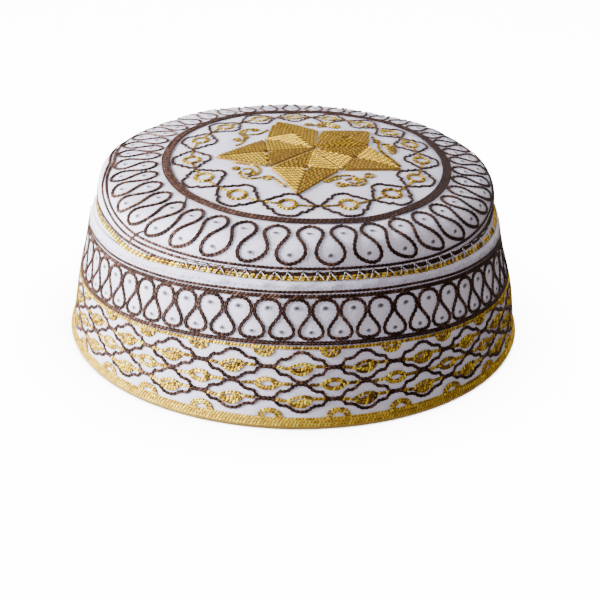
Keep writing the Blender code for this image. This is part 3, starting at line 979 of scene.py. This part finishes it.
for k in range(LATTICE_REPEATS):
    odd, even = FIRST_ROW + k * lattice_pitch, second_row + k * lattice_pitch
    for level in (TIPS[0] + 0.3, TIPS[2] + 0.2):
        lattice_marks += [band_shape(odd, level, curve(line)) for line in EYE_LINES]
    lattice_marks += [band_shape(even, TIPS[1] + 0.3, line) for line in (RING_SHAPE, RING_INNER)]
    lattice_marks += [band_shape(even, TIPS[1] + 0.3, curve(bar)) for bar in RING_BARS]
    lattice_marks += [band_shape(even, LOOP_LEVEL, curve(line)) for line in (LOOP_SHAPE, LOOP_INNER)]
    lattice_arches += [band_shape(even, ARCH_LEVEL, curve(line)) for line in (ARCH_SHAPE, ARCH_INNER)]
lattice_gold = chain("lattice_gold", lattice_marks, 1.5, gold, "hem_edge", tone=0.56, spread=0.46, step=1.4,
                     shear=0.5)
arch_gold = chain("hem_arches", lattice_arches, 1.35, gold, "hem_edge", tone=0.6, spread=0.34, step=1.3,
                  shear=0.4)


# Eyelets
# Small holes punched in the cloth in the bulbs of both meanders, each whipped round with white thread.
# A thin disc in the colour of its own shadow stands for the hole.
HOLE_SIDES = 16
WHIP_SIDES = 5
WHIP_MARKS = (0.4, 0.6, 0.6)
# Shares of an eyelet's size: its height, the hole and the rim; then how ragged it is
EYELET_HEIGHT = 0.72
HOLE_SHARE = 1.12
RIM_SHARE = 1.18
RAGGED = 0.16
# How far the hole's edge and its middle lie over the face of the cloth
HOLE_EDGE_LIFT = 0.00012
HOLE_MIDDLE_LIFT = 0.00010


def eyelets(name, spots, slot):
    """Whipped rims and the grey of the holes, at s, theta and size in mm."""
    rng = np.random.RandomState(len(name))
    rim_points, rim_faces, hole_points, hole_faces = [], [], [], []
    sides, tube_sides = HOLE_SIDES, WHIP_SIDES
    for s_mm, theta, size in spots:
        centre, normal = skin(s_mm, theta)
        side = np.cross((0.0, 0.0, 1.0), normal)
        side /= np.linalg.norm(side)
        other = np.cross(normal, side)
        hole = len(hole_points)
        rim_faces.append(quads(sides, tube_sides, True, True) + len(rim_points))
        ragged = 1.0 + rng.uniform(-RAGGED, RAGGED, sides)
        for k in range(sides):
            turn = 2.0 * math.pi * k / sides
            out = ragged[k] * (math.cos(turn) * side + EYELET_HEIGHT * math.sin(turn) * other)
            hole_points.append(centre + out * size * HOLE_SHARE * MM + normal * HOLE_EDGE_LIFT)
            whip = 0.10 + 0.05 * (k % 2)
            for j in range(tube_sides):
                roll = 2.0 * math.pi * j / tube_sides
                rim_points.append(centre + out * size * MM * (RIM_SHARE + whip * math.cos(roll))
                                  + normal * size * MM * whip * math.sin(roll))
        hole_faces += [(hole + sides, hole + k, hole + (k + 1) % sides) for k in range(sides)]
        hole_points.append(centre + normal * HOLE_MIDDLE_LIFT + (0.2 * side + 0.1 * other) * size * MM)
    rim_marks = np.tile(WHIP_MARKS, (len(rim_points), 1))
    rims = threads(name + "_rims", rim_points, np.concatenate(rim_faces), rim_marks, white, slot)
    holes = mesh_object(name + "_holes", hole_points, hole_faces, hole_shade, slot)
    mark(holes, "deep", np.tile([0.0] * sides + [1.0], len(spots)))
    return [rims, holes]


# Inside of a punched hole: frayed grey cloth that goes dark towards the middle, in its own shadow
hole_shade, tree, shader = new_material("eyelet_hole_shade")
fray = add(tree, "ShaderNodeTexNoise", {"Scale": 1800.0, "Detail": 2.0})
depth = add(tree, "ShaderNodeAttribute", attribute_name="deep")
ragged = add(tree, "ShaderNodeMath", {0: fray, 1: 0.7, 2: -0.35}, operation="MULTIPLY_ADD")
down = add(tree, "ShaderNodeMath",
           {0: depth.outputs["Fac"], 1: 1.3, 2: ragged}, operation="MULTIPLY_ADD", use_clamp=True)
tint = add(tree, "ShaderNodeMix",
           {"Factor": down, 6: srgb("9C9AA6"), 7: srgb("1E1C24")}, data_type="RGBA")
tree.links.new(tint.outputs[2], shader.inputs["Base Color"])
shader.inputs["Roughness"].default_value = 0.95

# On the crown, mm in from an outer end or out from an inner end of a loop. On the band, s of each row
OUTER_BULB = 3.9
INNER_BULB = 5.2
LOWER_ROW = 112.2
UPPER_ROW = 103.2
crown_spots = [(s_end - OUTER_BULB, angle + 0.5 * lean, 1.05) for angle, s_end, lean in ends[1::2]]
crown_spots += [(s_end + INNER_BULB, angle - 0.4, 1.1) for angle, s_end, lean in ends[2::2]]
crown_eyelets = eyelets("crown_eyelets", crown_spots, "crown_panel")
band_spots = [(LOWER_ROW, theta, 1.0) for theta in warp(home(band_starts), BAND_SHIFTS)]
band_spots += [(UPPER_ROW, theta, 1.2) for theta in warp(home(band_starts + band_pitch / 2.0), BAND_SHIFTS)]
band_eyelets = eyelets("band_eyelets", band_spots, "side_band")


# Hem
# The folded edge is wrapped in gold thread, with three rows of gold chain stitch round its face.
HEM_SECTION = np.array(((88.4, 0.7), (88.5, 2.7), (89.1, 3.5), (90.9, 3.5), (91.6, 2.8), (92.1, 1.6),
                        (91.9, 0.6), (91.3, 0.0), (88.9, 0.0))) * MM
HEM_AROUND = 240
# Wraps of the thread round the hem and their slant, coarse enough to show
WRAPS = 620.0
WRAP_SLANT = 6500.0
hem_turn = 2.0 * math.pi * np.arange(HEM_AROUND) / HEM_AROUND
hem_points = []
for radius, height in HEM_SECTION:
    swing = np.cos(2.0 * hem_turn)
    wide = radius * (1.0 + np.interp(height, SOFTNESS[:, 0], SOFTNESS[:, 1]) * swing)
    tall = height + np.interp(height, SOFTNESS[:, 0], SOFTNESS[:, 2]) * swing
    hem_points.append(np.stack((wide * np.cos(hem_turn), wide * np.sin(hem_turn), tall), axis=-1))
hem_points = np.concatenate(hem_points)
hem_faces = quads(len(HEM_SECTION), HEM_AROUND, True, True)[:, TURNED]
# Overcast gold thread: fine slanting wraps side by side over the edge
wrap_gold, tree, shader = new_material("gold_overcast_thread")
on_cap = add(tree, "ShaderNodeTexCoord")
axis = add(tree, "ShaderNodeSeparateXYZ", {"Vector": on_cap.outputs["Object"]})
turn_node = add(tree, "ShaderNodeMath", {0: axis.outputs["Y"], 1: axis.outputs["X"]}, operation="ARCTAN2")
around = add(tree, "ShaderNodeMath", {0: turn_node, 1: WRAPS}, operation="MULTIPLY")
tilt = add(tree, "ShaderNodeMath",
           {0: axis.outputs["Z"], 1: WRAP_SLANT, 2: around}, operation="MULTIPLY_ADD")
wave = add(tree, "ShaderNodeMath", {0: tilt}, operation="SINE")
share = add(tree, "ShaderNodeMapRange", {"Value": wave, "From Min": -1.0, "From Max": 1.0})
# Painted highlight and shade: each wrap lighter on its top and darker in the groove to the next
tint = add(tree, "ShaderNodeMix",
           {"Factor": share, 6: srgb("A88044"), 7: srgb("F6D268")}, data_type="RGBA")
tree.links.new(tint.outputs[2], shader.inputs["Base Color"])
bump = add(tree, "ShaderNodeBump", {"Strength": 0.8, "Distance": 0.0002, "Height": wave})
tree.links.new(bump.outputs["Normal"], shader.inputs["Normal"])
shader.inputs["Metallic"].default_value = 0.5
shader.inputs["Roughness"].default_value = 0.4
hem = mesh_object("hem_overcast", hem_points, hem_faces, wrap_gold, "hem_edge")
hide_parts("hem_edge")
hem_rows = chain("hem_gold_rows", [ring(142.1), ring(143.2), ring(144.3)], 1.2, gold, "hem_edge",
                 tone=0.66, spread=0.24, step=1.3, deep=False, shear=0.6)


# Cloth
# The crown is one round of white cotton twill eased over the shoulder, the band one straight strip
# sewn to it and flared down to the hem. Every stitched line pulls the cloth down a little.
CLOTH = 0.0020
CROWN_END = 91.3
BAND_START = 91.75
BAND_END = 141.9
BITE_DEPTH = 0.00028
BITE_WIDTH = 0.0012
# Radius at which the band's cloth is unrolled for its weave
UNROLL_RADIUS = 0.087
# Points round each cloth
CROWN_AROUND = 288
BAND_AROUND = 400
stitched = kdtree.KDTree(sum(len(line) for line in bites))
for index, point in enumerate(np.concatenate(bites)):
    stitched.insert(point, index)
stitched.balance()


def cloth(name, s_rows, around, material, slot, closed_middle):
    """A cloth shell: an outer face drawn in at the stitches, an inner face, and the edges between."""
    theta = 360.0 * np.arange(around) / around
    grid_s, grid_t = np.meshgrid(s_rows, theta, indexing="ij")
    outer, normal = skin(grid_s, grid_t)
    flat = outer.reshape(-1, 3)
    near = np.array([stitched.find(point)[2] for point in flat])
    pull_and_shade = np.exp(-(near / BITE_WIDTH) ** 2)
    flat = flat - normal.reshape(-1, 3) * (BITE_DEPTH * pull_and_shade)[:, None]
    inner = skin(grid_s, grid_t, -CLOTH)[0]
    rows = len(s_rows)
    points = np.concatenate((flat, inner.reshape(-1, 3)))
    run = np.arange(around)
    beside = (run + 1) % around
    inside = rows * around
    face = quads(rows, around, across_closed=True).reshape(-1, around, 4)
    # Row by row, the quads of the outer face and then those of the inner one
    faces = [np.stack((face, face[..., TURNED] + inside), axis=1).reshape(-1, 4)]
    last = (rows - 1) * around
    faces.append(np.stack((last + run, inside + last + run, inside + last + beside, last + beside), axis=-1))
    if not closed_middle:
        faces.append(np.stack((run, beside, inside + beside, inside + run), axis=-1))
    faces = np.concatenate(faces).tolist()
    if closed_middle:
        faces += [run.tolist(), (inside + run[::-1]).tolist()]
    made = mesh_object(name, points, faces, material, slot)
    # The pull also marks where the cotton gets its painted shade
    mark(made, "pull_and_shade", np.concatenate((pull_and_shade, np.zeros(len(flat)))))
    # The weave of the crown runs straight across it, that of the band follows the unrolled strip
    unrolled = np.stack((np.radians(grid_t) * UNROLL_RADIUS, grid_s * MM, np.zeros_like(grid_s)), axis=-1)
    mark(made, "lay", points if closed_middle else np.tile(unrolled.reshape(-1, 3), (2, 1)))
    return made


# Radians a metre for a weave 0.5 mm apart, coarser than real twill so that it shows
WEAVE = 12500.0


def cotton(name, light, dark):
    """White cotton twill: a fine weave with slubs and a soft sheen, with painted shade, darker and cooler,
    where the stitches draw it in.
    """
    made, tree, shader = new_material(name)
    lay = add(tree, "ShaderNodeAttribute", attribute_name="lay")
    pucker_shade = add(tree, "ShaderNodeAttribute", attribute_name="pull_and_shade")
    axis = add(tree, "ShaderNodeSeparateXYZ", {"Vector": lay.outputs["Vector"]})
    threads_over = []
    for way in ("X", "Y"):
        along = add(tree, "ShaderNodeMath", {0: axis.outputs[way], 1: WEAVE}, operation="MULTIPLY")
        threads_over.append(add(tree, "ShaderNodeMath", {0: along}, operation="SINE"))
    cross = add(tree, "ShaderNodeMath", {0: threads_over[0], 1: threads_over[1]}, operation="MULTIPLY")
    slub = add(tree, "ShaderNodeTexNoise",
               {"Vector": lay.outputs["Vector"], "Scale": 900.0, "Detail": 3.0, "Roughness": 0.6})
    cloud = add(tree, "ShaderNodeTexNoise",
                {"Vector": lay.outputs["Vector"], "Scale": 45.0, "Detail": 3.0})
    tint = add(tree, "ShaderNodeMix",
               {"Factor": cloud.outputs["Fac"], 6: srgb(light), 7: srgb(dark)}, data_type="RGBA")
    # Painted shade: the cloth is darker and cooler where the stitches draw it into grooves
    shade = add(tree, "ShaderNodeMix",
                {"Factor": pucker_shade.outputs["Fac"], 6: tint.outputs[2], 7: srgb("E9E4EE")},
                data_type="RGBA", blend_type="MULTIPLY")
    thread = add(tree, "ShaderNodeMapRange",
                 {"Value": cross, "From Min": -1.0, "From Max": 1.0, "To Min": 0.86, "To Max": 1.0})
    woven = add(tree, "ShaderNodeMix",
                {"Factor": 1.0, 6: shade.outputs[2], 7: thread}, data_type="RGBA", blend_type="MULTIPLY")
    uneven = add(tree, "ShaderNodeMapRange",
                 {"Value": slub, "From Min": 0.35, "From Max": 0.65, "To Min": 0.86, "To Max": 1.0})
    grained = add(tree, "ShaderNodeMix",
                  {"Factor": 1.0, 6: woven.outputs[2], 7: uneven}, data_type="RGBA", blend_type="MULTIPLY")
    tree.links.new(grained.outputs[2], shader.inputs["Base Color"])
    height = add(tree, "ShaderNodeMath",
                 {0: slub.outputs["Fac"], 1: 1.2, 2: cross}, operation="MULTIPLY_ADD")
    bump = add(tree, "ShaderNodeBump", {"Strength": 0.7, "Distance": 0.00016, "Height": height})
    tree.links.new(bump.outputs["Normal"], shader.inputs["Normal"])
    shader.inputs["Roughness"].default_value = 0.82
    shader.inputs["Sheen Weight"].default_value = 0.25
    shader.inputs["Sheen Roughness"].default_value = 0.5
    return made


twill = cotton("white_cotton_twill_mercerised", "F1F0FB", "E3E2F1")
crown_rows = np.concatenate((np.linspace(1.0, 62.0, 40), np.linspace(63.0, CROWN_END, 36)))
crown = cloth("crown_cloth", crown_rows, CROWN_AROUND, twill, "crown_panel", True)
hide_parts("crown_panel")
band_rows = np.linspace(BAND_START, BAND_END, 60)
band = cloth("band_cloth", band_rows, BAND_AROUND, twill, "side_band", False)
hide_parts("side_band")
